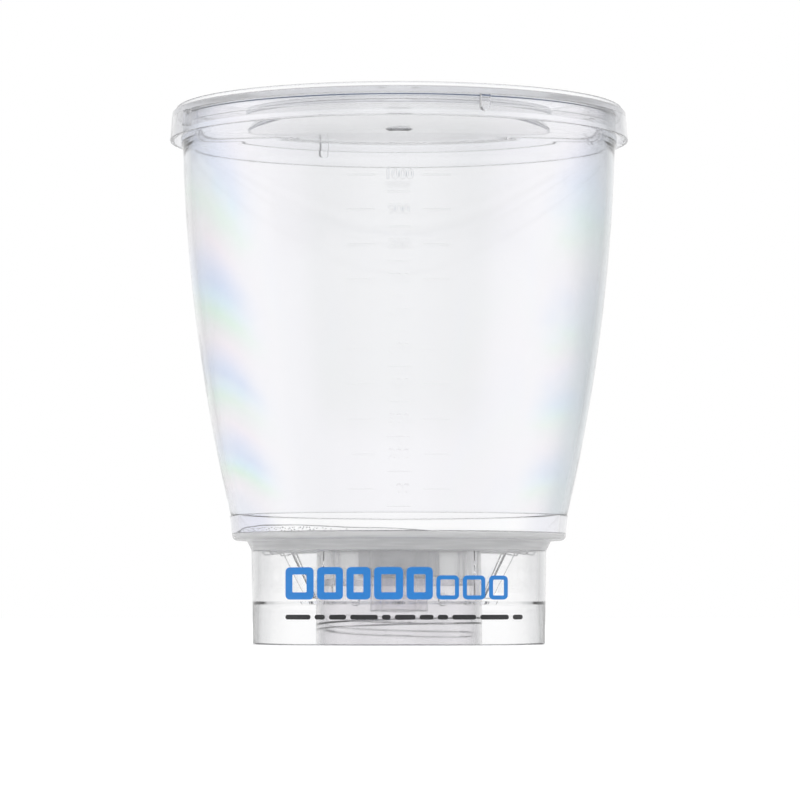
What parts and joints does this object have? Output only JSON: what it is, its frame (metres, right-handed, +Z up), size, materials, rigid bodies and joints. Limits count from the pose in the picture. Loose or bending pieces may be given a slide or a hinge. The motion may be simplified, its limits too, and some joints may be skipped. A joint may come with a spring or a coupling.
{
  "type": "bottle-top vacuum filtration unit",
  "caption": "Clear funnel with a lift-off lid and a filter disc, over a skirted base whose threaded neck screws onto a lab bottle, with a hose barb for vacuum.",
  "frame": {"origin": "centre of the foot of the base, on the surface it stands on", "axes": "+Z up the funnel to the lid; -Y is the printed front; the hose barb points along +Y"},
  "size_m": [0.1378, 0.1378, 0.1607],
  "materials": {
    "clear_styrene": "clear injection-moulded polystyrene, polished",
    "port_plastic": "clear injection-moulded plastic, polished",
    "membrane_white": "matt white microporous film",
    "gasket_rubber": "soft translucent elastomer, matt",
    "fibre_white": "packed white fibre",
    "print_blue": "printed blue ink, satin",
    "print_black": "printed black ink, satin"
  },
  "bodies": {
    "unit": {"support_plate": "clear_styrene", "skirt": "clear_styrene", "bottle_neck": "clear_styrene", "drip_spout": "clear_styrene", "membrane": "membrane_white", "neck_gasket": "gasket_rubber", "funnel": "clear_styrene", "hose_barb": "port_plastic", "port_plug": "fibre_white"},
    "lid": {"lid": "clear_styrene"}
  },
  "joints": [
    {"name": "lid_lift", "type": "slide", "parent": "unit", "child": "lid", "axis": [0, 0, 1], "range_m": [0, 0.04]}
  ]
}
